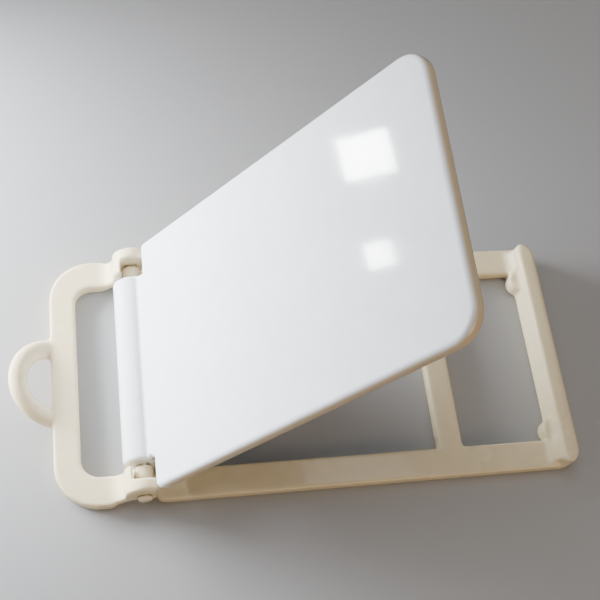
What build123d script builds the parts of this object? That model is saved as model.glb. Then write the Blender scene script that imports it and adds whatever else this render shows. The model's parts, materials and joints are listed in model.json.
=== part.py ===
from build123d import *
from math import cos, radians, sin, sqrt
import os

# Hinged-cover tag holder, moulded in white plastic.
# An open base frame lies flat, a cover swings on two hinge pins, and a strap frame swings on the same pins.
# Sizes are in millimetres, and angles in degrees. +X runs from the hinge to the end wall and +Z is up.
# Shapes are drawn with the hinge axis at X = 0 and moved at the end, so that the origin is
# the bottom centre of the whole holder.

# Overall sizes
width = 60.0              # across the base frame and the cover
bar_height = 3.3          # height of the flat bars of both frames
bar_edge_r = 1.0          # rounding along the bars' edges

# Base frame
base_reach = 104.8        # hinge axis to the outer face of the end wall
rail_width = 7.0
crossbar_at = 73.5        # hinge axis to the middle of the crossbar
crossbar_width = 6.1
wall_thickness = 5.2
wall_height = 7.0
base_corner_r = 4.0       # outer corners at the end wall, seen from above
window_corner_r = 1.0
rail_end_gap = 0.3        # swing of the ears to the rails' rear ends
rail_end_r = 2.6
boss_r = 3.0              # round-nosed stops that the closed cover lies on
boss_stand = 2.1          # how far a stop stands out from the end wall
boss_from_side = 9.5      # side face to the middle of a stop
boss_gap = 0.35           # closed cover to the boss top

# Hinge
hinge_height = 6.5        # hinge axis above the resting surface
barrel_r = 4.5
barrel_floor_gap = 0.3    # barrel to the tie bar under it
tie_front = 4.0           # hinge axis to the front face of the tie bar
tie_back = 2.4            # hinge axis to the rear face of the tie bar
lug_r = 2.2
lug_width = 3.5
ear_r = 4.5
ear_rise = 1.0            # hinge axis up to the middle of the ears' round tops
ear_front = 2.8           # hinge axis to the flat front of the ears
ear_foot_gap = 0.4        # underside of the ears to the top of the rails under them
ear_width = 3.0
ear_inset = 0.5           # arm's outer side to the ear's outer face
side_gap = 0.4            # between barrel, lug and ear, along the hinge axis

# Hinge pins
pin_r = 1.0
pin_running_gap = 0.05    # radial, in the lugs and ears
pin_press = 0.02          # radial interference in the barrel
pin_grip = 8.0            # length held in the barrel
pin_head_r = 1.7
pin_head_height = 0.9
pin_head_gap = 0.15       # pin head to the ear

# Cover
cover_end_gap = 0.9       # free end to the end wall when closed
cover_thickness = 3.3
cover_corner_r = 6.5      # corners of the free end
cover_edge_r = 1.2
shoulder_gap = 0.5        # ears to where the cover reaches its full width
shoulder_corner_r = 1.5
cover_open = 57.6         # how far the cover stands open

# Strap frame
strap_overhang = 0.4      # outer sides of the arms to the side faces of the base frame
strap_reach = 19.5        # hinge axis to the outer face of the strap bar
strap_bar_width = 6.0
arm_width = 6.9
strap_corner_r = 10.0
slot_corner_r = 4.0
ramp_r = 3.3              # hollow blend from the flat arm up to the ear
heel = 6.5                # hinge axis to where the arm's underside starts to rise
pocket_back = 2.6         # hinge axis to the pocket wall in the arm

# Hanging loop on the strap bar
loop_outer_reach = 10.4   # loop's outer edge from the bar, along the loop
loop_outer_half = 10.7    # half the loop's width where it meets the bar
loop_inner_reach = 6.0
loop_inner_half = 6.0
loop_tilt = 30.0
loop_root = 0.8           # how far the loop reaches into the bar
loop_edge_r = 1.0

# Worked-out places
half_width = width / 2
wall_inner = base_reach - wall_thickness
cover_reach = wall_inner - cover_end_gap
half_strap = half_width + strap_overhang
ear_outer = half_strap - ear_inset
ear_inner = ear_outer - ear_width
lug_outer = ear_inner - side_gap
lug_inner = lug_outer - lug_width
barrel_half = lug_inner - side_gap
tie_height = hinge_height - barrel_r - barrel_floor_gap
boss_top = hinge_height - cover_thickness / 2 - boss_gap
bore_r = pin_r + pin_running_gap
cover_shoulder = ear_r + ear_rise + shoulder_gap
ear_foot_height = bar_height + ear_foot_gap
ear_swing_r = sqrt(ear_front ** 2 + (hinge_height - ear_foot_height) ** 2)
rail_swing_r = ear_swing_r + rail_end_gap + bar_edge_r   # hinge axis to the middle of the rails' edge rounding
rail_start = sqrt(rail_swing_r ** 2 - (hinge_height - bar_height + bar_edge_r) ** 2) - bar_edge_r
loop_reach = loop_edge_r + (loop_outer_reach - loop_edge_r) * cos(radians(loop_tilt))
loop_reach += (bar_height / 2 - loop_edge_r) * sin(radians(loop_tilt))
rear_reach = strap_reach + loop_reach
row_shift = Pos((rear_reach - base_reach) / 2, 0, 0)


def plan_box(x_low, x_high, y_half):
    """A rectangle seen from above, centred on the middle line."""
    return Pos((x_low + x_high) / 2, 0) * Rectangle(x_high - x_low, 2 * y_half)


def side_slab(face, y_low, y_high):
    """A face drawn in X and Z, made solid between two Y planes."""
    return extrude(Plane.XZ.offset(-y_high) * face, amount=y_high - y_low)


def corners(sketch, x):
    """The sketch's corners at one X."""
    return [v for v in sketch.vertices() if abs(v.X - x) < 1e-6]


def rounded_rims(solid, radius):
    """The solid with its lowest and highest edges rounded."""
    rims = solid.edges().group_by(Axis.Z)
    return fillet(rims[0] + rims[-1], radius)


def window(x_low, x_high):
    """An opening of the base frame between its rails, seen from above."""
    opening = plan_box(x_low, x_high, half_width - rail_width)
    return fillet(opening.vertices(), window_corner_r)


def rail_gap():
    """The space between the rails from their rear ends to the crossbar, seen from above."""
    front = crossbar_at - crossbar_width / 2
    gap = plan_box(rail_start - rail_end_r, front, half_width - rail_width)
    return fillet(corners(gap, front), window_corner_r)


def base_outline():
    """The base frame's outer edge, seen from above."""
    outline = plan_box(rail_start, base_reach, half_width)
    outline = fillet(corners(outline, base_reach), base_corner_r)
    return fillet(corners(outline, rail_start), rail_end_r)


def make_base_frame():
    """Two rails, a crossbar, an end wall with stops, and a tie bar with a lug for each pin."""
    outline = base_outline()
    plan = outline - rail_gap() - window(crossbar_at + crossbar_width / 2, wall_inner)
    frame = rounded_rims(extrude(plan, amount=bar_height), bar_edge_r)
    tie = extrude(plan_box(-tie_back, tie_front + window_corner_r, lug_outer), amount=tie_height)
    tie -= extrude(window(tie_front, crossbar_at), amount=2 * tie_height)
    wall = extrude(outline, amount=wall_height)
    wall &= extrude(plan_box(wall_inner, base_reach, half_width), amount=wall_height)
    wall = fillet(wall.edges().group_by(Axis.Z)[-1], bar_edge_r)
    frame = frame + tie + wall
    for side in (-1, 1):
        boss = Pos(wall_inner - boss_stand + boss_r, side * (half_width - boss_from_side)) * Circle(boss_r)
        boss = extrude(boss, amount=boss_top)
        boss = fillet(boss.edges().group_by(Axis.Z)[-1], bar_edge_r)
        frame += boss
        low, high = sorted((side * lug_inner, side * lug_outer))
        stem = Pos(0, hinge_height / 2) * Rectangle(2 * lug_r, hinge_height)
        eye = Pos(0, hinge_height) * Circle(lug_r)
        bore = Pos(0, hinge_height) * Circle(bore_r)
        frame += side_slab(stem + eye - bore, low, high)
    return frame


def make_cover_flap():
    """A flat plate with a hinge barrel, drawn closed and then turned to where it stands open."""
    plate = plan_box(cover_shoulder, cover_reach, half_width)
    plate = fillet(corners(plate, cover_reach), cover_corner_r)
    plate = fillet(corners(plate, cover_shoulder), shoulder_corner_r)
    plate += plan_box(0, cover_shoulder + shoulder_corner_r, barrel_half)
    panel = Pos(0, 0, hinge_height - cover_thickness / 2) * extrude(plate, amount=cover_thickness)
    panel = rounded_rims(panel, cover_edge_r)
    flap = panel + side_slab(Pos(0, hinge_height) * Circle(barrel_r), -barrel_half, barrel_half)
    for side in (-1, 1):
        low, high = sorted((side * (barrel_half - pin_grip), side * barrel_half))
        flap -= side_slab(Pos(0, hinge_height) * Circle(pin_r - pin_press), low, high)
    return flap.rotate(Axis((0, 0, hinge_height), (0, -1, 0)), cover_open)


def arm_profile():
    """An arm of the strap frame seen from the side: its rise from the flat bar to the ear."""
    ear_centre = (0, hinge_height + ear_rise)
    rise = hinge_height + ear_rise - bar_height
    ramp_x = -sqrt((ear_r + ramp_r) ** 2 - (rise - ramp_r) ** 2)
    ramp_centre = (ramp_x, bar_height + ramp_r)
    body = Polygon(
        (ramp_x, 0),
        (-heel, 0),
        (ear_foot_height - heel, ear_foot_height),
        (0, ear_foot_height),
        ear_centre,
        ramp_centre,
        align=None,
    )
    ear = Pos(*ear_centre) * Circle(ear_r)
    ear &= Pos(ear_front - ear_r, ear_foot_height + ear_r) * Rectangle(2 * ear_r, 2 * ear_r)
    return body - Pos(*ramp_centre) * Circle(ramp_r) + ear, ramp_x


def arm_plan(ramp_x, arm_inner):
    """Both arms seen from above: full width at the ramp, then stepping in to the ears round the pocket."""
    far_arm = Polygon(
        (ramp_x, arm_inner),
        (-pocket_back, arm_inner),
        (-pocket_back, ear_inner),
        (ear_r, ear_inner),
        (ear_r, ear_outer),
        (-pocket_back, ear_outer),
        (-heel, half_strap),
        (ramp_x, half_strap),
        align=None,
    )
    return far_arm, mirror(far_arm, about=Plane.XZ)


def make_hanging_loop():
    """A half-round loop that rises from the outer face of the strap bar."""
    ring = Ellipse(loop_outer_reach, loop_outer_half) - Ellipse(loop_inner_reach, loop_inner_half)
    loop = rounded_rims(extrude(ring, amount=bar_height / 2, both=True), loop_edge_r)
    loop &= Pos(loop_root - loop_outer_reach, 0, 0) * Box(2 * loop_outer_reach, 2 * loop_outer_half, bar_height)
    return Pos(-strap_reach, 0, bar_height / 2) * Rot(0, loop_tilt, 0) * loop


def make_strap_frame():
    """A bar with two arms that rise into ears round the hinge pins, and the hanging loop."""
    profile, ramp_x = arm_profile()
    arm_inner = half_strap - arm_width
    outer = fillet(corners(plan_box(-strap_reach, 0, half_strap), -strap_reach), strap_corner_r)
    slot_back = strap_bar_width - strap_reach
    slot = fillet(corners(plan_box(slot_back, 2 * ear_r, arm_inner), slot_back), slot_corner_r)
    frame = extrude(outer - slot, amount=bar_height)
    frame = rounded_rims(frame, bar_edge_r)
    frame &= Pos((ramp_x - strap_reach) / 2, 0, 0) * Box(strap_reach + ramp_x, 2 * half_strap, 2 * bar_height)
    block = side_slab(profile, -half_strap, half_strap)
    plans = arm_plan(ramp_x, arm_inner)
    arms = Part() + [block & extrude(plan, amount=2 * hinge_height, both=True) for plan in plans]
    arms -= side_slab(Pos(0, hinge_height) * Circle(bore_r), -half_strap, half_strap)
    loop = make_hanging_loop()
    loop &= Pos(-strap_reach, 0, hinge_height) * Box(4 * loop_outer_reach, width, 2 * hinge_height)
    return frame + arms + loop


def make_pin(side):
    """A headed hinge pin, pushed in from one side through the ear and the lug into the barrel."""
    tip = barrel_half - pin_grip
    head = ear_outer + pin_head_gap
    shaft_low, shaft_high = sorted((side * tip, side * head))
    head_low, head_high = sorted((side * head, side * (head + pin_head_height)))
    shaft = side_slab(Pos(0, hinge_height) * Circle(pin_r), shaft_low, shaft_high)
    cap = side_slab(Pos(0, hinge_height) * Circle(pin_head_r), head_low, head_high)
    rim = cap.edges().group_by(Axis.Y)[0 if side < 0 else -1]
    return shaft + fillet(rim, pin_head_r / 2)


nodes = {
    "base_frame": make_base_frame(),
    "strap_frame": make_strap_frame(),
    "cover_flap": make_cover_flap(),
    "near_hinge_pin": make_pin(-1),
    "far_hinge_pin": make_pin(1),
}

os.makedirs("parts", exist_ok=True)
for name, solid in nodes.items():
    export_step(row_shift * solid, f"parts/{name}.step")
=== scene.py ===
import json
from math import acos, asin, cos, pi, radians, sin, sqrt

import bmesh
import bpy
from bpy.props import FloatProperty, FloatVectorProperty, IntProperty, PointerProperty
from mathutils import Matrix, Vector


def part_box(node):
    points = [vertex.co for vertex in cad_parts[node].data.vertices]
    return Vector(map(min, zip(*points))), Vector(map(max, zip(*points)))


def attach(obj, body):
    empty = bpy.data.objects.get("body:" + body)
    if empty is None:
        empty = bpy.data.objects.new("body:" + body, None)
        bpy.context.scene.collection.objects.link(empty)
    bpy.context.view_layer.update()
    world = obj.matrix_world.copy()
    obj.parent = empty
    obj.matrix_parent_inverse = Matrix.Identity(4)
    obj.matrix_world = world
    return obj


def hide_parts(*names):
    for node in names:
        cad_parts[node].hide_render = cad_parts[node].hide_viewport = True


bl_info = {
    "name": "Hinged Tag Holder",
    "version": (1, 0, 0),
    "blender": (4, 5, 0),
    "location": "View3D > Sidebar > Tag Holder",
    "description": "Builds the moulded pieces of a tag holder with a hinged cover round its frame",
    "category": "Object",
}

MM = 0.001
TINY = 1e-7             # points closer than this, in metres, are the same point
OVERLAP = 0.5 * MM      # how far neighbouring solids of one moulding run into each other
FULL_TURN = 2 * pi

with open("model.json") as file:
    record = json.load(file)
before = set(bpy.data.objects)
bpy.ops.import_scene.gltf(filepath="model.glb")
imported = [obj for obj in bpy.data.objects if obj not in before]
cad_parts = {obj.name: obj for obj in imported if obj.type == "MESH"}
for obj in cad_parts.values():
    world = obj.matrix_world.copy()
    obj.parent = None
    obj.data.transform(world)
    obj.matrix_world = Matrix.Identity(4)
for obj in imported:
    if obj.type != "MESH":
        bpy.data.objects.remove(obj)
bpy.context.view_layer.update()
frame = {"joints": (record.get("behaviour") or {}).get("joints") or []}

# Places that the frame gives, in metres
joints = {joint["name"]: joint for joint in frame["joints"]}
hinge = Vector(joints["cover_hinge"]["pos_m"])
open_angle = radians(-joints["cover_hinge"]["range_deg"][0])
base_low, base_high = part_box("base_frame")
strap_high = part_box("strap_frame")[1]
pin_low, pin_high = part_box("near_hinge_pin")


class BaseFrameSizes(bpy.types.PropertyGroup):
    """Sizes of the base frame."""

    bar_height: FloatProperty(
        name="Bar height", description="Height of the flat bars", default=3.3 * MM, unit="LENGTH")
    rail_width: FloatProperty(
        name="Rail width", description="Width of each side rail", default=7.0 * MM, unit="LENGTH")
    rail_start: FloatProperty(
        name="Rail start", description="Hinge line to the rear ends of the rails",
        default=2.2 * MM, unit="LENGTH")
    rail_end_r: FloatProperty(
        name="Rail end radius", description="Rounding of the rails' rear ends",
        default=2.6 * MM, unit="LENGTH")
    corner_r: FloatProperty(
        name="Corner radius", description="Outer corners at the end wall",
        default=4.0 * MM, unit="LENGTH")
    crossbar_at: FloatProperty(
        name="Crossbar place", description="Hinge line to the middle of the crossbar",
        default=73.5 * MM, unit="LENGTH")
    crossbar_width: FloatProperty(
        name="Crossbar width", description="Width of the crossbar", default=6.1 * MM, unit="LENGTH")
    wall_foot: FloatProperty(
        name="Wall foot", description="Thickness of the end wall where it stands",
        default=5.2 * MM, unit="LENGTH")
    wall_top: FloatProperty(
        name="Wall top", description="Thickness of the end wall along its top",
        default=4.2 * MM, unit="LENGTH")
    wall_height: FloatProperty(
        name="Wall height", description="Height of the end wall", default=7.0 * MM, unit="LENGTH")
    wall_corner_r: FloatProperty(
        name="Wall end radius", description="Rounding of the end wall's outer corners",
        default=4.0 * MM, unit="LENGTH")
    wall_inner_r: FloatProperty(
        name="Wall inner radius", description="Rounding of the end wall's inner corners",
        default=2.0 * MM, unit="LENGTH")
    stop_r: FloatProperty(
        name="Stop radius", description="Radius of the round stops",
        default=3.0 * MM, unit="LENGTH")
    stop_stand: FloatProperty(
        name="Stop stand", description="How far a stop stands out from the end wall",
        default=2.1 * MM, unit="LENGTH")
    stop_from_side: FloatProperty(
        name="Stop place", description="Side face to the middle of a stop",
        default=9.5 * MM, unit="LENGTH")
    stop_height: FloatProperty(
        name="Stop height", description="Height of the stops", default=4.5 * MM, unit="LENGTH")
    gusset: FloatProperty(
        name="Gusset", description="Reach of the soft blend from each rail up to the end wall",
        default=2.2 * MM, unit="LENGTH")
    gusset_inset: FloatProperty(
        name="Gusset inset", description="Side face to the outer end of each blend", default=1.2 * MM,
        unit="LENGTH")
    tie_front: FloatProperty(
        name="Tie front", description="Hinge line to the front face of the tie bar",
        default=4.0 * MM, unit="LENGTH")
    tie_height: FloatProperty(
        name="Tie height", description="Height of the tie bar under the barrel",
        default=1.7 * MM, unit="LENGTH")
    lug_width: FloatProperty(
        name="Lug width", description="Width of each hinge lug", default=3.5 * MM, unit="LENGTH")


class StrapFrameSizes(bpy.types.PropertyGroup):
    """Sizes of the strap frame and its hanging loop."""

    bar_width: FloatProperty(
        name="Bar width", description="Width of the strap bar", default=6.0 * MM, unit="LENGTH")
    bar_reach: FloatProperty(
        name="Bar reach", description="Hinge line to the outer face of the strap bar",
        default=19.5 * MM, unit="LENGTH")
    arm_width: FloatProperty(
        name="Arm width", description="Width of each arm", default=6.9 * MM, unit="LENGTH")
    outer_r: FloatProperty(
        name="Outer corner radius", description="Outer corners of the strap frame",
        default=10.0 * MM, unit="LENGTH")
    slot_r: FloatProperty(
        name="Slot corner radius", description="Corners of the strap slot",
        default=4.0 * MM, unit="LENGTH")
    ramp_r: FloatProperty(
        name="Ramp radius", description="Hollow blend from each arm up to its ear",
        default=3.3 * MM, unit="LENGTH")
    heel: FloatProperty(
        name="Heel", description="Hinge line to where the arm's underside starts to rise",
        default=6.5 * MM, unit="LENGTH")
    ear_rise: FloatProperty(
        name="Ear rise", description="Hinge line up to the middle of the ears' round tops",
        default=1.0 * MM, unit="LENGTH")
    ear_front: FloatProperty(
        name="Ear front", description="Hinge line to the flat front of the ears",
        default=2.8 * MM, unit="LENGTH")
    ear_foot: FloatProperty(
        name="Ear foot", description="Underside of the ears above the resting surface",
        default=3.7 * MM, unit="LENGTH")
    ear_inset: FloatProperty(
        name="Ear inset", description="Outer side of an arm to the outer face of its ear",
        default=0.5 * MM, unit="LENGTH")
    ear_width: FloatProperty(
        name="Ear width", description="Width of each ear", default=3.0 * MM, unit="LENGTH")
    pocket_back: FloatProperty(
        name="Pocket back", description="Hinge line to the wall of the pocket round the lug",
        default=2.6 * MM, unit="LENGTH")
    loop_radius: FloatProperty(
        name="Loop radius", description="Middle line of the hanging loop",
        default=8.35 * MM, unit="LENGTH")
    loop_width: FloatProperty(
        name="Loop width", description="Width of the loop's section",
        default=4.7 * MM, unit="LENGTH")
    loop_root: FloatProperty(
        name="Loop root", description="How far the loop's ends reach into the bar", default=1.2 * MM,
        unit="LENGTH")
    loop_tilt: FloatProperty(
        name="Loop tilt", description="How far the loop rises from the bar",
        default=radians(30.0), subtype="ANGLE")


class CoverSizes(bpy.types.PropertyGroup):
    """Sizes of the cover."""

    reach: FloatProperty(
        name="Reach", description="Hinge line to the free end", default=98.7 * MM, unit="LENGTH")
    thickness: FloatProperty(
        name="Thickness", description="Thickness of the plate", default=3.3 * MM, unit="LENGTH")
    corner_r: FloatProperty(
        name="Corner radius", description="Corners of the free end",
        default=6.5 * MM, unit="LENGTH")
    edge_r: FloatProperty(
        name="Edge radius", description="Rounding along the plate's edges",
        default=1.25 * MM, unit="LENGTH")
    shoulder: FloatProperty(
        name="Shoulder", description="Hinge line to where the plate reaches its full width",
        default=6.0 * MM, unit="LENGTH")
    shoulder_r: FloatProperty(
        name="Shoulder radius", description="Corners of the shoulders",
        default=1.5 * MM, unit="LENGTH")
    barrel_r: FloatProperty(
        name="Barrel radius", description="Radius of the hinge barrel",
        default=4.5 * MM, unit="LENGTH")
    barrel_half: FloatProperty(
        name="Barrel half length", description="Half the length of the hinge barrel",
        default=22.6 * MM, unit="LENGTH")
    barrel_end_r: FloatProperty(
        name="Barrel end radius", description="Rounding round the barrel's ends",
        default=0.9 * MM, unit="LENGTH")
    root_r: FloatProperty(
        name="Root radius", description="Hollow between the barrel and the plate",
        default=0.9 * MM, unit="LENGTH")


class PinSizes(bpy.types.PropertyGroup):
    """Sizes of the hinge pins."""

    shaft_r: FloatProperty(
        name="Shaft radius", description="Radius of the pin", default=1.0 * MM, unit="LENGTH")
    head_height: FloatProperty(
        name="Head height", description="Height of the domed head", default=0.9 * MM, unit="LENGTH")
    running_gap: FloatProperty(
        name="Running gap", description="Room round the pin in lugs and ears",
        default=0.2 * MM, unit="LENGTH")


class FinishColours(bpy.types.PropertyGroup):
    """Colours of the moulded plastic and the stage."""

    frame_tone: FloatVectorProperty(
        name="Frame", description="Warm white of the frames",
        subtype="COLOR", default=(0.82, 0.70, 0.455))
    cover_tone: FloatVectorProperty(
        name="Cover", description="White of the cover",
        subtype="COLOR", default=(0.79, 0.815, 0.845))
    # Painted shade: a darker, warmer cream for the cover's thin edge faces, which stand in shade
    edge_shade_tone: FloatVectorProperty(
        name="Rim", description="Cream that shows along the cover's thin edges", subtype="COLOR",
        default=(0.62, 0.50, 0.33))
    pin_tone: FloatVectorProperty(
        name="Pins", description="White of the pins", subtype="COLOR", default=(0.82, 0.71, 0.49))
    floor_tone: FloatVectorProperty(
        name="Floor", description="Pale grey of the floor",
        subtype="COLOR", default=(0.37, 0.37, 0.375))


class MeshQuality(bpy.types.PropertyGroup):
    """How finely the pieces are meshed."""

    skin_step: FloatProperty(
        name="Skin step", description="Mesh spacing of the frames", default=0.3 * MM, unit="LENGTH")
    skin_passes: IntProperty(
        name="Skin passes", description="Smoothing passes that soften edges and joints", default=28)
    round_steps: IntProperty(
        name="Round steps", description="Segments in each rounded corner", default=10)


GROUPS = {
    "holder_base": BaseFrameSizes,
    "holder_strap": StrapFrameSizes,
    "holder_cover": CoverSizes,
    "holder_pins": PinSizes,
    "holder_finish": FinishColours,
    "holder_mesh": MeshQuality,
}


# Mesh helpers. Distances along X are from the hinge line, and heights are from the resting surface.

def place(x, y, z):
    """The point at a distance from the hinge line, across the holder and above the surface."""
    return Vector((hinge.x + x, y, z))


def prism(outline, low, high, rounds=None, side=False):
    """A solid raised on a flat outline of a few corners, with some of its upright edges rounded.
    The outline is seen from above, or from the side and raised along Y."""
    def spot(u, v, w):
        return place(u, w, v) if side else place(u, v, w)

    steps = bpy.context.scene.holder_mesh.round_steps
    part = bmesh.new()
    face = part.faces.new([part.verts.new(spot(u, v, low)) for u, v in outline])
    raised = bmesh.ops.extrude_face_region(part, geom=[face])
    tops = [item for item in raised["geom"] if isinstance(item, bmesh.types.BMVert)]
    bmesh.ops.translate(part, verts=tops, vec=spot(0, 0, high) - spot(0, 0, low))
    for corner, radius in (rounds or {}).items():
        foot = spot(*outline[corner], low)
        head = spot(*outline[corner], high)
        for edge in part.edges:
            ends = [vert.co for vert in edge.verts]
            if max(min((end - spot_end).length for end in ends) for spot_end in (foot, head)) < TINY:
                bmesh.ops.bevel(part, geom=[edge], offset=radius, offset_type="OFFSET", segments=steps,
                                profile=0.5, affect="EDGES", material=-1)
                break
    bmesh.ops.recalc_face_normals(part, faces=part.faces)
    return part


def bar(x_low, x_high, y_low, y_high, z_low, z_high):
    """A straight bar."""
    return prism([(x_low, y_low), (x_high, y_low), (x_high, y_high), (x_low, y_high)], z_low, z_high)


def hinge_ring(inner_r, outer_r, y_low, y_high):
    """A ring round the hinge line, spun from its section."""
    part = bmesh.new()
    section = [(inner_r, y_low), (outer_r, y_low), (outer_r, y_high), (inner_r, y_high)]
    verts = [part.verts.new(place(x, y, hinge.z)) for x, y in section]
    edges = [part.edges.new((verts[i - 1], verts[i])) for i in range(len(verts))]
    bmesh.ops.spin(part, geom=verts + edges, cent=hinge, axis=(0, 1, 0), angle=FULL_TURN, steps=64,
                   use_merge=True)
    bmesh.ops.remove_doubles(part, verts=part.verts, dist=TINY)
    bmesh.ops.recalc_face_normals(part, faces=part.faces)
    return part


def arc(centre, radius, start, end, steps=24):
    """Points of an outline along a round stretch, from one angle to another."""
    angles = [start + (end - start) * step / steps for step in range(steps + 1)]
    return [(centre[0] + radius * cos(angle), centre[1] + radius * sin(angle)) for angle in angles]


def trimmed(part, point, outward):
    """The solid without what lies past a plane, closed again where it was cut."""
    whole = part.verts[:] + part.edges[:] + part.faces[:]
    cut = bmesh.ops.bisect_plane(part, geom=whole, plane_co=point, plane_no=outward, clear_outer=True)
    rim = [item for item in cut["geom_cut"] if isinstance(item, bmesh.types.BMEdge)]
    bmesh.ops.holes_fill(part, edges=rim, sides=0)
    bmesh.ops.recalc_face_normals(part, faces=part.faces)
    return part


def bored(part, radius):
    """The solid with a round hole along the hinge line."""
    drill = bmesh.new()
    length = 4 * strap_high.y
    bmesh.ops.create_cone(drill, cap_ends=True, segments=48, radius1=radius, radius2=radius,
                          depth=length)
    bmesh.ops.rotate(drill, verts=drill.verts, cent=(0, 0, 0), matrix=Matrix.Rotation(pi / 2, 3, "X"))
    bmesh.ops.translate(drill, verts=drill.verts, vec=hinge)
    block, cutter = piece("block", part), piece("cutter", drill)
    cut = block.modifiers.new("bore", "BOOLEAN")
    cut.operation = "DIFFERENCE"
    cut.solver = "EXACT"
    cut.object = cutter
    settle(block)
    left = bmesh.new()
    left.from_mesh(block.data)
    for helper in (block, cutter):
        bpy.data.meshes.remove(helper.data)
    return left


def mirrored(part):
    """The same solid on the other side of the middle line."""
    twin = part.copy()
    bmesh.ops.scale(twin, vec=(1, -1, 1), verts=twin.verts)
    bmesh.ops.recalc_face_normals(twin, faces=twin.faces)
    return twin


def joined(parts):
    """Several solids in one bmesh."""
    whole = bmesh.new()
    for part in parts:
        mesh = bpy.data.meshes.new("part")
        part.to_mesh(mesh)
        whole.from_mesh(mesh)
        bpy.data.meshes.remove(mesh)
        part.free()
    return whole


def piece(name, part):
    """A new object that holds the solid, at the origin."""
    mesh = bpy.data.meshes.new(name)
    part.to_mesh(mesh)
    part.free()
    made = bpy.data.objects.new(name, mesh)
    bpy.context.scene.collection.objects.link(made)
    return made


def settle(made):
    """Replaces the piece's mesh by what its modifiers make of it."""
    shown = made.evaluated_get(bpy.context.evaluated_depsgraph_get())
    mesh = bpy.data.meshes.new_from_object(shown)
    old = made.data
    made.modifiers.clear()
    made.data = mesh
    mesh.name = made.name
    bpy.data.meshes.remove(old)
    return made


def moulded(made):
    """Fuses the piece's overlapping solids into one skin with soft edges and soft inner corners."""
    quality = bpy.context.scene.holder_mesh
    skin = made.modifiers.new("skin", "REMESH")
    skin.mode = "VOXEL"
    skin.voxel_size = quality.skin_step
    skin.use_smooth_shade = True
    soft = made.modifiers.new("soft", "SMOOTH")
    soft.factor = 0.5
    soft.iterations = quality.skin_passes
    return settle(made)


def finish_piece(made, body, node, material):
    """Gives the piece its material, ties it to its body and hides the node it stands in for."""
    made.data.materials.clear()
    made.data.materials.append(material)
    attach(made, body)
    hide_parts(node)


# Material helpers

def group_tree(name, inputs, outputs):
    """An empty node group with named sockets, and its input and output nodes."""
    tree = bpy.data.node_groups.new(name, "ShaderNodeTree")
    for socket, kind, value in inputs:
        made = tree.interface.new_socket(socket, in_out="INPUT", socket_type=kind)
        if value is not None:
            made.default_value = value
    for socket, kind in outputs:
        tree.interface.new_socket(socket, in_out="OUTPUT", socket_type=kind)
    return tree, tree.nodes.new("NodeGroupInput"), tree.nodes.new("NodeGroupOutput")


def add_node(tree, kind, links=None, **settings):
    """A node with its settings, and its sockets linked or set."""
    node = tree.nodes.new(kind)
    for key, value in settings.items():
        setattr(node, key, value)
    for socket, source in (links or {}).items():
        if isinstance(source, bpy.types.NodeSocket):
            tree.links.new(source, node.inputs[socket])
        else:
            node.inputs[socket].default_value = source
    return node


def noise(tree, vector, scale, detail, roughness=0.5):
    """A noise pattern's value."""
    links = {"Vector": vector, "Scale": scale, "Detail": detail, "Roughness": roughness}
    return add_node(tree, "ShaderNodeTexNoise", links).outputs["Fac"]


def spread(tree, value, low, high, to_low, to_high):
    """A value moved smoothly from one range to another."""
    links = {"Value": value, "From Min": low, "From Max": high, "To Min": to_low, "To Max": to_high}
    node = add_node(tree, "ShaderNodeMapRange", links, interpolation_type="SMOOTHSTEP")
    return node.outputs["Result"]


def maths(tree, operation, *values):
    """The result of a sum on values."""
    return add_node(tree, "ShaderNodeMath", dict(enumerate(values)), operation=operation).outputs[0]


def moulded_skin_group():
    """Height of a moulded surface: broad sink waves, a fine flow ripple and a faint peel."""
    tree, enter, leave = group_tree(
        "moulded_skin",
        [("Vector", "NodeSocketVector", None), ("Sink", "NodeSocketFloat", 1.0),
         ("Peel", "NodeSocketFloat", 1.0)],
        [("Height", "NodeSocketFloat"), ("Tone", "NodeSocketFloat")])
    vector = enter.outputs["Vector"]
    sink = noise(tree, vector, scale=55.0, detail=1.0)
    flow = noise(tree, vector, scale=210.0, detail=2.0)
    peel = noise(tree, vector, scale=1500.0, detail=3.0, roughness=0.6)
    flow_share, peel_share = 0.12, 0.035
    broad = maths(tree, "MULTIPLY", sink, enter.outputs["Sink"])
    fine = maths(tree, "MULTIPLY", maths(tree, "MULTIPLY", peel, enter.outputs["Peel"]), peel_share)
    ripple = maths(tree, "MULTIPLY", flow, flow_share)
    height = maths(tree, "ADD", maths(tree, "ADD", broad, ripple), fine)
    tree.links.new(height, leave.inputs["Height"])
    tree.links.new(spread(tree, flow, 0.35, 0.65, 0.0, 1.0), leave.inputs["Tone"])
    return tree


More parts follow.
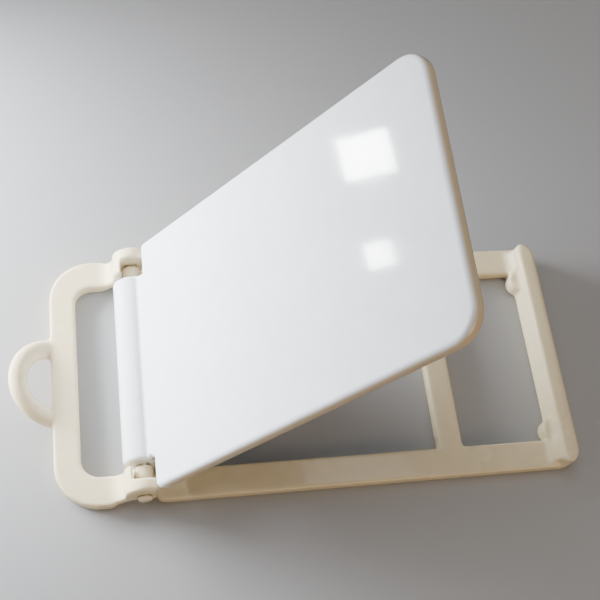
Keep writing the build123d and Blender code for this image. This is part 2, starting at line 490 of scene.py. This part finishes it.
def handling_marks_group():
    """Hairline scratches, smears and dust that change how sharply the surface shines."""
    tree, enter, leave = group_tree(
        "handling_marks",
        [("Vector", "NodeSocketVector", None), ("Gloss", "NodeSocketFloat", 0.14),
         ("Wear", "NodeSocketFloat", 0.1)],
        [("Roughness", "NodeSocketFloat"), ("Dust", "NodeSocketFloat")])
    vector = enter.outputs["Vector"]
    marks = None
    scratch_runs = ((0.5, 14.0), (-1.1, 9.0), (2.2, 18.0))     # turn in radians, and stretch
    for turn, stretch in scratch_runs:
        along = {"Vector": vector, "Rotation": (0.2, 0.1, turn), "Scale": (stretch, 1.0, 1.0)}
        turned = add_node(tree, "ShaderNodeMapping", along)
        line = noise(tree, turned.outputs["Vector"], scale=160.0, detail=2.0)
        off_line = maths(tree, "ABSOLUTE", maths(tree, "SUBTRACT", line, 0.5))
        thin = spread(tree, off_line, 0.0, 0.006, 1.0, 0.0)
        marks = thin if marks is None else maths(tree, "MAXIMUM", marks, thin)
    patches = spread(tree, noise(tree, vector, scale=90.0, detail=3.0), 0.5, 0.68, 0.0, 1.0)
    scratches = maths(tree, "MULTIPLY", marks, patches)
    scratch_share = 1.4
    smears = noise(tree, vector, scale=38.0, detail=4.0, roughness=0.6)
    smears = spread(tree, smears, 0.42, 0.72, 0.0, 1.0)
    worn = maths(tree, "MULTIPLY", smears, enter.outputs["Wear"])
    deepest = maths(tree, "MULTIPLY", enter.outputs["Wear"], scratch_share)
    lines = maths(tree, "MULTIPLY", scratches, deepest)
    roughness = maths(tree, "ADD", maths(tree, "ADD", enter.outputs["Gloss"], worn), lines)
    specks = add_node(tree, "ShaderNodeTexVoronoi", {"Vector": vector, "Scale": 900.0})
    dust = spread(tree, specks.outputs["Distance"], 0.03, 0.07, 1.0, 0.0)
    dusty = spread(tree, noise(tree, vector, scale=240.0, detail=1.0), 0.6, 0.66, 0.0, 1.0)
    dust = maths(tree, "MULTIPLY", dust, dusty)
    tree.links.new(roughness, leave.inputs["Roughness"])
    tree.links.new(dust, leave.inputs["Dust"])
    return tree


def node_group(name):
    """One of the shared node groups, built once."""
    makers = {"moulded_skin": moulded_skin_group, "handling_marks": handling_marks_group}
    return bpy.data.node_groups.get(name) or makers[name]()


def plate_edge_shade_mask(tree, coordinates):
    """How much painted shade a point of the open cover gets along the plate's thin edges, from 0 to 1.
    """
    sizes = bpy.context.scene.holder_cover
    across = Vector((-sin(open_angle), 0.0, cos(open_angle)))
    facing = add_node(tree, "ShaderNodeVectorMath",
                      {0: coordinates.outputs["Normal"], 1: across}, operation="DOT_PRODUCT")
    edge_on = spread(tree, maths(tree, "ABSOLUTE", facing.outputs["Value"]), 0.25, 0.93, 1.0, 0.0)
    level = add_node(tree, "ShaderNodeMapping", {"Vector": coordinates.outputs["Object"]},
                     vector_type="TEXTURE")
    level.inputs["Location"].default_value = hinge
    level.inputs["Rotation"].default_value = (0.0, -open_angle, 0.0)
    along = add_node(tree, "ShaderNodeSeparateXYZ", {"Vector": level.outputs["Vector"]}).outputs["X"]
    fade = 6 * MM
    past_barrel = spread(tree, along, sizes.barrel_r, sizes.barrel_r + fade, 0.0, 1.0)
    return maths(tree, "MULTIPLY", edge_on, past_barrel)


def gloss_plastic(name, tone, gloss, wear, sink, rim=None):
    """A glossy moulded plastic with sink waves, hairline marks and a little dust. With rim, the cover's
    thin edge faces get painted shade in that tone.
    """
    deep_share = 0.965      # how much of the tone is left in the deeper patches
    dust_cover, dust_tone = 0.35, (0.36, 0.34, 0.31)
    wave_height = 0.05 * MM
    material = bpy.data.materials.new(name)
    material.use_nodes = True
    tree = material.node_tree
    shader = tree.nodes["Principled BSDF"]
    coordinates = tree.nodes.new("ShaderNodeTexCoord")
    vector = coordinates.outputs["Object"]
    skin = add_node(tree, "ShaderNodeGroup", node_tree=node_group("moulded_skin"))
    marks = add_node(tree, "ShaderNodeGroup", node_tree=node_group("handling_marks"))
    tree.links.new(vector, skin.inputs["Vector"])
    tree.links.new(vector, marks.inputs["Vector"])
    skin.inputs["Sink"].default_value = sink
    marks.inputs["Gloss"].default_value = gloss
    marks.inputs["Wear"].default_value = wear
    deep = add_node(tree, "ShaderNodeMix", {"Factor": skin.outputs["Tone"]}, data_type="RGBA")
    deep.inputs["A"].default_value = (*[deep_share * channel for channel in tone], 1.0)
    deep.inputs["B"].default_value = (*tone, 1.0)
    colour = deep.outputs["Result"]
    # Painted shade: the cover's thin edge faces are mixed towards the darker, warmer edge shade colour
    if rim:
        edges = plate_edge_shade_mask(tree, coordinates)
        warm = add_node(tree, "ShaderNodeMix", {"Factor": edges, "A": colour}, data_type="RGBA")
        warm.inputs["B"].default_value = (*rim, 1.0)
        colour = warm.outputs["Result"]
    dust = maths(tree, "MULTIPLY", marks.outputs["Dust"], dust_cover)
    specks = add_node(tree, "ShaderNodeMix", {"Factor": dust, "A": colour}, data_type="RGBA")
    specks.inputs["B"].default_value = (*dust_tone, 1.0)
    tree.links.new(specks.outputs["Result"], shader.inputs["Base Color"])
    tree.links.new(marks.outputs["Roughness"], shader.inputs["Roughness"])
    waves = add_node(tree, "ShaderNodeBump", {"Height": skin.outputs["Height"]})
    waves.inputs["Strength"].default_value = 1.0
    waves.inputs["Distance"].default_value = wave_height
    tree.links.new(waves.outputs["Normal"], shader.inputs["Normal"])
    shader.inputs["IOR"].default_value = 1.5
    shader.inputs["Subsurface Weight"].default_value = 0.18
    shader.inputs["Subsurface Radius"].default_value = (1.0, 0.8, 0.6)
    shader.inputs["Subsurface Scale"].default_value = 1.2 * MM
    shader.inputs["Coat Weight"].default_value = 0.5
    shader.inputs["Coat Roughness"].default_value = 0.035
    return material


# Base frame

def make_base_bars(sizes):
    """Two side rails, the crossbar and the thin tie bar under the barrel."""
    half = base_high.y
    inner = half - sizes.rail_width
    reach = base_high.x - hinge.x
    rail = prism([(sizes.rail_start, inner), (reach, inner), (reach, half), (sizes.rail_start, half)],
                 0, sizes.bar_height, {0: sizes.rail_end_r, 2: sizes.corner_r, 3: sizes.rail_end_r})
    half_bar = sizes.crossbar_width / 2
    overlap = sizes.rail_width / 2
    crossbar = bar(sizes.crossbar_at - half_bar, sizes.crossbar_at + half_bar, -inner - overlap,
                   inner + overlap, 0, sizes.bar_height)
    lug_outer = inner + sizes.lug_width
    tie = bar(base_low.x - hinge.x, sizes.tie_front, -lug_outer, lug_outer, 0, sizes.tie_height)
    return [rail, mirrored(rail), crossbar, tie]


def make_end_wall(sizes):
    """The end wall with its leaning inner face, the soft blends at its ends and the two stops."""
    half = base_high.y
    reach = base_high.x - hinge.x
    foot_x = reach - sizes.wall_foot
    top_x = reach - sizes.wall_top
    inside = foot_x + 2 * OVERLAP
    low_wall = prism([(inside, -half), (reach, -half), (reach, half), (inside, half)],
                     0, sizes.bar_height, {1: sizes.corner_r, 2: sizes.corner_r})
    inner_r, outer_r = sizes.wall_inner_r, sizes.wall_corner_r
    wall = prism([(foot_x, -half), (reach, -half), (reach, half), (foot_x, half)], 0, sizes.wall_height,
                 {0: inner_r, 1: outer_r, 2: outer_r, 3: inner_r})
    for vert in wall.verts:
        height = vert.co.z / sizes.wall_height
        vert.co.x += height * (top_x - foot_x) * (base_high.x - vert.co.x) / sizes.wall_foot
    hollow = sizes.gusset
    hollow_top = sizes.bar_height + hollow
    gusset_root = foot_x + 4 * OVERLAP
    gusset = prism([(foot_x - hollow, 0), (gusset_root, 0), (gusset_root, hollow_top),
                    *arc((foot_x - hollow, hollow_top), hollow, 0, -pi / 2, steps=10)],
                   half - sizes.rail_width, half - sizes.gusset_inset, side=True)
    stop = bmesh.new()
    bmesh.ops.create_cone(stop, cap_ends=True, segments=48, radius1=sizes.stop_r, radius2=sizes.stop_r,
                          depth=sizes.stop_height)
    stop_x = foot_x - sizes.stop_stand + sizes.stop_r
    bmesh.ops.translate(stop, verts=stop.verts,
                        vec=place(stop_x, half - sizes.stop_from_side, sizes.stop_height / 2))
    return [low_wall, wall, gusset, mirrored(gusset), stop, mirrored(stop)]


def make_lug(sizes, bore_r):
    """A lug that stands on the tie bar and rings the hinge pin."""
    low = base_high.y - sizes.rail_width
    high = low + sizes.lug_width
    lug_r = base_high.z - hinge.z
    under_bore = 0.1 * MM
    stem = bar(-lug_r, lug_r, low, high, 0, hinge.z - bore_r - under_bore)
    cheeks = [bar(-lug_r, -bore_r, low, high, sizes.tie_height, hinge.z),
              bar(bore_r, lug_r, low, high, sizes.tie_height, hinge.z)]
    return [stem, *cheeks, hinge_ring(bore_r, lug_r, low, high)]


class HOLDER_OT_base_frame(bpy.types.Operator):
    """Moulds the base frame: rails, crossbar, end wall with stops, tie bar and lugs"""

    bl_idname = "holder.base_frame"
    bl_label = "Base Frame"

    def execute(self, context):
        sizes = context.scene.holder_base
        pins = context.scene.holder_pins
        lug = make_lug(sizes, pins.shaft_r + pins.running_gap)
        parts = make_base_bars(sizes) + make_end_wall(sizes) + [mirrored(part) for part in lug] + lug
        made = moulded(piece("base_frame_moulding", joined(parts)))
        tone = context.scene.holder_finish.frame_tone
        material = gloss_plastic("frame_gloss_plastic", tone, gloss=0.2, wear=0.12, sink=1.0)
        finish_piece(made, "base", "base_frame", material)
        return {"FINISHED"}


# Strap frame

def make_strap_bars(sizes, bar_height):
    """The strap bar and the flat parts of its arms, with wide rounded corners."""
    half = strap_high.y
    inner = half - sizes.arm_width
    back = -sizes.bar_reach
    slot_back = back + sizes.bar_width
    front = -sizes.heel
    outline = [(front, inner), (slot_back, inner), (slot_back, -inner), (front, -inner),
               (front, -half), (back, -half), (back, half), (front, half)]
    return prism(outline, 0, bar_height,
                 {1: sizes.slot_r, 2: sizes.slot_r, 5: sizes.outer_r, 6: sizes.outer_r})


def make_arm(sizes, bar_height, bore_r):
    """One arm's rise from the flat bar to the ear, with the pocket that clears the lug."""
    half = strap_high.y
    ear_outer = half - sizes.ear_inset
    ear_inner = ear_outer - sizes.ear_width
    centre = (0, hinge.z + sizes.ear_rise)
    ear_r = strap_high.z - centre[1]
    reach = ear_r + sizes.ramp_r
    touch = asin((centre[1] - bar_height - sizes.ramp_r) / reach)
    ramp_centre = (-reach * cos(touch), bar_height + sizes.ramp_r)
    root = ramp_centre[0] - 4 * OVERLAP
    outline = [(root, 0), (-sizes.heel, 0), (sizes.ear_foot - sizes.heel, sizes.ear_foot),
               (sizes.ear_front, sizes.ear_foot),
               *arc(centre, ear_r, acos(sizes.ear_front / ear_r), pi + touch),
               *arc(ramp_centre, sizes.ramp_r, touch, -pi / 2)[1:],
               (root, bar_height)]
    ear = bored(prism(outline, ear_inner, ear_outer, side=True), bore_r)
    web = prism(outline, half - sizes.arm_width, ear_inner + OVERLAP, side=True)
    web = trimmed(web, place(-sizes.pocket_back, 0, 0), (1, 0, 0))
    cheek = prism(outline, ear_outer - OVERLAP, half, side=True)
    cheek_slope = 0.35
    cheek = trimmed(cheek, place(-sizes.heel, 0, 0), (1, 0, cheek_slope))
    return [ear, web, cheek]


def make_hanging_loop(sizes, bar_height):
    """A half ring with a round section that rises from the outer face of the strap bar."""
    part = bmesh.new()
    bmesh.ops.create_circle(part, cap_ends=True, segments=32, radius=0.5)
    bmesh.ops.scale(part, vec=(sizes.loop_width, bar_height, 1), verts=part.verts)
    past_half = radians(14)
    start = Matrix.Rotation(pi / 2 - past_half, 3, "Z")
    bmesh.ops.rotate(part, verts=part.verts, cent=(0, 0, 0), matrix=Matrix.Rotation(pi / 2, 3, "X"))
    bmesh.ops.translate(part, verts=part.verts, vec=(sizes.loop_radius, 0, 0))
    bmesh.ops.rotate(part, verts=part.verts, cent=(0, 0, 0), matrix=start)
    bmesh.ops.spin(part, geom=part.verts[:] + part.edges[:] + part.faces[:], cent=(0, 0, 0),
                   axis=(0, 0, 1), angle=pi + 2 * past_half, steps=64)
    tilt = Matrix.Rotation(sizes.loop_tilt, 3, "Y")
    bmesh.ops.rotate(part, verts=part.verts, cent=(0, 0, 0), matrix=tilt)
    bmesh.ops.translate(part, verts=part.verts, vec=place(-sizes.bar_reach, 0, bar_height / 2))
    part = trimmed(part, place(sizes.loop_root - sizes.bar_reach, 0, 0), (1, 0, 0))
    return trimmed(part, Vector((0, 0, 0)), (0, 0, -1))


class HOLDER_OT_strap_frame(bpy.types.Operator):
    """Moulds the strap frame: strap bar, arms, ears and the hanging loop"""

    bl_idname = "holder.strap_frame"
    bl_label = "Strap Frame"

    def execute(self, context):
        sizes = context.scene.holder_strap
        bar_height = context.scene.holder_base.bar_height
        pins = context.scene.holder_pins
        arm = make_arm(sizes, bar_height, pins.shaft_r + pins.running_gap)
        parts = [make_strap_bars(sizes, bar_height), make_hanging_loop(sizes, bar_height)]
        parts += [mirrored(part) for part in arm] + arm
        made = moulded(piece("strap_frame_moulding", joined(parts)))
        tone = context.scene.holder_finish.frame_tone
        material = gloss_plastic("strap_gloss_plastic", tone, gloss=0.2, wear=0.14, sink=1.0)
        finish_piece(made, "strap", "strap_frame", material)
        return {"FINISHED"}


# Cover

def make_plate(sizes):
    """The flat plate, drawn closed, with rounded corners and rounded edges."""
    half = base_high.y
    outline = [(0, -sizes.barrel_half), (sizes.shoulder, -sizes.barrel_half), (sizes.shoulder, -half),
               (sizes.reach, -half), (sizes.reach, half), (sizes.shoulder, half),
               (sizes.shoulder, sizes.barrel_half), (0, sizes.barrel_half)]
    low = hinge.z - sizes.thickness / 2
    plate = prism(outline, low, low + sizes.thickness,
                  {2: sizes.shoulder_r, 3: sizes.corner_r, 4: sizes.corner_r, 5: sizes.shoulder_r})
    rims = [edge for edge in plate.edges
            if abs(edge.verts[0].co.z - edge.verts[1].co.z) < TINY
            and max(vert.co.x for vert in edge.verts) > hinge.x + TINY]
    bmesh.ops.bevel(plate, geom=rims, offset=sizes.edge_r, offset_type="OFFSET", segments=8,
                    profile=0.5, affect="EDGES", material=-1)
    bmesh.ops.recalc_face_normals(plate, faces=plate.faces)
    return plate


def make_barrel(sizes):
    """The hinge barrel, whose section is a circle that runs out into the plate through two hollows."""
    inside_plate = 0.002 * MM       # keeps the barrel's run-out just under the plate's faces
    half_plate = sizes.thickness / 2 - inside_plate
    hollow_z = half_plate + sizes.root_r
    hollow_x = sqrt((sizes.barrel_r + sizes.root_r) ** 2 - hollow_z ** 2)
    swing = asin(hollow_z / (sizes.barrel_r + sizes.root_r))
    part = bmesh.new()
    tail = [part.verts.new(hinge + Vector((hollow_x, -sizes.barrel_half, z)))
            for z in (half_plate, -half_plate)]
    runs = [(Vector((hollow_x, 0, hollow_z)), pi / 2 - swing, 8),
            (Vector((0, 0, 0)), -(FULL_TURN - 2 * swing), 72),
            (Vector((hollow_x, 0, -hollow_z)), pi / 2 - swing, 8)]
    end = tail[0]
    for centre, turn, steps in runs:
        spun = bmesh.ops.spin(part, geom=[end], cent=hinge + centre, axis=(0, 1, 0), angle=turn,
                              steps=steps)
        end = [item for item in spun["geom_last"] if isinstance(item, bmesh.types.BMVert)][0]
    part.edges.new(tail)
    bmesh.ops.remove_doubles(part, verts=part.verts, dist=TINY)
    outline = bmesh.ops.contextual_create(part, geom=part.edges[:])
    raised = bmesh.ops.extrude_face_region(part, geom=outline["faces"])
    ends = [item for item in raised["geom"] if isinstance(item, bmesh.types.BMVert)]
    bmesh.ops.translate(part, verts=ends, vec=(0, 2 * sizes.barrel_half, 0))
    rims = [edge for edge in part.edges if abs(edge.verts[0].co.y - edge.verts[1].co.y) < TINY]
    bmesh.ops.bevel(part, geom=rims, offset=sizes.barrel_end_r, offset_type="OFFSET", segments=6,
                    profile=0.5, affect="EDGES", material=-1)
    bmesh.ops.recalc_face_normals(part, faces=part.faces)
    return part


class HOLDER_OT_cover(bpy.types.Operator):
    """Makes the cover: a plate with rounded edges and its hinge barrel, standing open"""

    bl_idname = "holder.cover"
    bl_label = "Cover"

    def execute(self, context):
        sizes = context.scene.holder_cover
        made = piece("cover_plate", make_plate(sizes))
        barrel = piece("cover_barrel", make_barrel(sizes))
        union = made.modifiers.new("barrel", "BOOLEAN")
        union.operation = "UNION"
        union.solver = "EXACT"
        union.object = barrel
        settle(made)
        bpy.data.objects.remove(barrel)
        opened = Matrix.Rotation(-open_angle, 4, "Y")
        made.data.transform(Matrix.Translation(hinge) @ opened @ Matrix.Translation(-hinge))
        made.data.shade_smooth()
        shade = made.modifiers.new("shade", "WEIGHTED_NORMAL")
        shade.weight = 100
        settle(made)
        finish = context.scene.holder_finish
        # The cover's thin edges get painted shade in the darker edge shade colour
        material = gloss_plastic("cover_gloss_plastic", finish.cover_tone, gloss=0.06, wear=0.06,
                                 sink=0.5, rim=finish.edge_shade_tone)
        finish_piece(made, "cover", "cover_flap", material)
        return {"FINISHED"}


# Hinge pins

def make_pin(sizes, side):
    """A pin with a domed head and a tapered tip, spun round the hinge line."""
    tip = -pin_high.y
    head = -pin_low.y - sizes.head_height
    head_r = (pin_high.x - pin_low.x) / 2
    lead, lead_r = 0.5 * MM, 0.6 * sizes.shaft_r
    # Shares of the head's radius and height
    dome = [(1.0, 0.0), (1.0, 0.25), (0.86, 0.68), (0.5, 0.94), (0.0, 1.0)]
    part = bmesh.new()
    profile = [(0, -tip), (lead_r, -tip), (sizes.shaft_r, -tip + lead), (sizes.shaft_r, head)]
    profile += [(head_r * out, head + sizes.head_height * up) for out, up in dome]
    verts = [part.verts.new(hinge + Vector((r, side * y, 0))) for r, y in profile]
    edges = [part.edges.new(pair) for pair in zip(verts, verts[1:])]
    bmesh.ops.spin(part, geom=verts + edges, cent=hinge, axis=(0, 1, 0), angle=FULL_TURN, steps=40,
                   use_merge=True)
    bmesh.ops.remove_doubles(part, verts=part.verts, dist=TINY)
    bmesh.ops.recalc_face_normals(part, faces=part.faces)
    return part


class HOLDER_OT_hinge_pins(bpy.types.Operator):
    """Turns the two headed hinge pins"""

    bl_idname = "holder.hinge_pins"
    bl_label = "Hinge Pins"

    def execute(self, context):
        sizes = context.scene.holder_pins
        tone = context.scene.holder_finish.pin_tone
        material = gloss_plastic("pin_gloss_plastic", tone, gloss=0.2, wear=0.1, sink=0.4)
        for name, side in (("near_hinge_pin", -1), ("far_hinge_pin", 1)):
            made = piece(name + "_turned", make_pin(sizes, side))
            made.data.shade_smooth()
            finish_piece(made, "cover", name, material)
        return {"FINISHED"}


# Stage

def add_floor(tone):
    """A wide pale floor that the holder lies on."""
    part = bmesh.new()
    floor_r, floor_gap = 3.0, 0.02 * MM
    deep_share = 0.97       # how much of the tone is left in the deeper clouds
    bmesh.ops.create_circle(part, cap_ends=True, segments=96, radius=floor_r)
    bmesh.ops.translate(part, verts=part.verts, vec=(0, 0, -floor_gap))
    floor = piece("floor", part)
    material = bpy.data.materials.new("floor_paint")
    material.use_nodes = True
    tree = material.node_tree
    shader = tree.nodes["Principled BSDF"]
    vector = tree.nodes.new("ShaderNodeTexCoord").outputs["Object"]
    cloud = noise(tree, vector, scale=3.0, detail=2.0)
    mix = add_node(tree, "ShaderNodeMix", {"Factor": cloud}, data_type="RGBA")
    mix.inputs["A"].default_value = (*[deep_share * channel for channel in tone], 1.0)
    mix.inputs["B"].default_value = (*tone, 1.0)
    tree.links.new(mix.outputs["Result"], shader.inputs["Base Color"])
    shader.inputs["Roughness"].default_value = 0.6
    floor.data.materials.append(material)


def add_panel(name, target, azimuth, elevation, distance, size, strength, colour,
              shine=True, spread=180):
    """A soft light panel that faces a target from a direction, with a set brightness. Angles are in
    degrees. Without shine it isn't mirrored in glossy surfaces. Its light fans out by the spread."""
    azimuth, elevation = radians(azimuth), radians(elevation)
    light = bpy.data.lights.new(name, "AREA")
    light.shape = "RECTANGLE"
    light.size, light.size_y = size
    light.energy = strength * pi * size[0] * size[1]
    light.color = colour
    light.spread = radians(spread)
    lamp = bpy.data.objects.new(name, light)
    bpy.context.scene.collection.objects.link(lamp)
    away = Vector((cos(azimuth) * cos(elevation), sin(azimuth) * cos(elevation), sin(elevation)))
    lamp.location = target + away * distance
    lamp.rotation_euler = away.to_track_quat("Z", "Y").to_euler()
    lamp.visible_camera = False
    lamp.visible_glossy = shine


def on_cover(along, across):
    """A point of the open cover, at a distance from the hinge line and from the middle line."""
    return hinge + Vector((cos(open_angle) * along, across, sin(open_angle) * along))


def add_camera():
    """A camera close above the near side, leaning as a hand-held one does."""
    aim = place(53.99 * MM, 21.65 * MM, 0.0)
    azimuth, elevation, roll = radians(-29.56), radians(61.50), radians(24.14)
    distance = 280.85 * MM
    data = bpy.data.cameras.new("camera")
    data.sensor_width = 36.0
    data.lens = 65.49
    data.shift_x = -0.075
    data.shift_y = -0.0167
    camera = bpy.data.objects.new("camera", data)
    bpy.context.scene.collection.objects.link(camera)
    view = Vector((-sin(azimuth) * cos(elevation), cos(azimuth) * cos(elevation), -sin(elevation)))
    camera.location = aim - view * distance
    level = view.to_track_quat("-Z", "Y").to_matrix()
    camera.rotation_euler = (level @ Matrix.Rotation(roll, 3, "Z")).to_euler()
    bpy.context.scene.camera = camera


class HOLDER_OT_stage(bpy.types.Operator):
    """Sets the pale floor, the soft studio lights and the camera"""

    bl_idname = "holder.stage"
    bl_label = "Stage"

    def execute(self, context):
        add_camera()
        add_floor(context.scene.holder_finish.floor_tone)
        middle = Vector((0, 0, 20 * MM))
        cool, neutral, warm = (0.93, 0.965, 1.0), (0.98, 0.99, 1.0), (1.0, 0.70, 0.38)
        room_tone, room_strength = (0.72, 0.74, 0.78), 0.23
        add_panel("key_panel", hinge, azimuth=150, elevation=14, distance=0.135, size=(0.12, 0.05),
                  strength=31.0, colour=cool, shine=False, spread=100)
        add_panel("strip_panel", hinge, azimuth=176, elevation=52, distance=0.4, size=(0.15, 0.022),
                  strength=34.0, colour=neutral)
        add_panel("top_panel", middle, azimuth=120, elevation=72, distance=0.8, size=(0.7, 0.7),
                  strength=1.45, colour=neutral)
        add_panel("warm_panel", middle, azimuth=-62, elevation=24, distance=0.7, size=(0.5, 0.35),
                  strength=3.2, colour=warm)
        add_panel("window_panel", on_cover(81 * MM, 13.5 * MM), azimuth=148.5, elevation=-6.4,
                  distance=0.33, size=(0.021, 0.025), strength=95.0, colour=neutral)
        add_panel("side_window_panel", on_cover(80.5 * MM, -7.2 * MM), azimuth=153.8, elevation=-7.0,
                  distance=0.33, size=(0.012, 0.013), strength=75.0, colour=neutral)
        world = bpy.data.worlds.new("studio")
        world.use_nodes = True
        background = world.node_tree.nodes["Background"]
        background.inputs["Color"].default_value = (*room_tone, 1.0)
        background.inputs["Strength"].default_value = room_strength
        context.scene.world = world
        return {"FINISHED"}


class HOLDER_PT_panel(bpy.types.Panel):
    """Lists the pieces of the holder and their sizes."""

    bl_label = "Tag Holder"
    bl_idname = "HOLDER_PT_panel"
    bl_space_type = "VIEW_3D"
    bl_region_type = "UI"
    bl_category = "Tag Holder"

    def draw(self, context):
        for maker in MAKERS:
            self.layout.operator(maker.bl_idname)
        for name, kind in GROUPS.items():
            box = self.layout.box()
            box.label(text=kind.__doc__)
            for size in kind.__annotations__:
                box.prop(getattr(context.scene, name), size)


MAKERS = (
    HOLDER_OT_stage,
    HOLDER_OT_base_frame,
    HOLDER_OT_strap_frame,
    HOLDER_OT_cover,
    HOLDER_OT_hinge_pins,
)


def register():
    for kind in (*GROUPS.values(), *MAKERS, HOLDER_PT_panel):
        bpy.utils.register_class(kind)
    for name, kind in GROUPS.items():
        setattr(bpy.types.Scene, name, PointerProperty(type=kind))


def unregister():
    for name in GROUPS:
        delattr(bpy.types.Scene, name)
    for kind in reversed((*GROUPS.values(), *MAKERS, HOLDER_PT_panel)):
        bpy.utils.unregister_class(kind)


def main():
    register()
    for maker in MAKERS:
        family, action = maker.bl_idname.split(".")
        getattr(getattr(bpy.ops, family), action)()


if __name__ == "__main__":
    main()
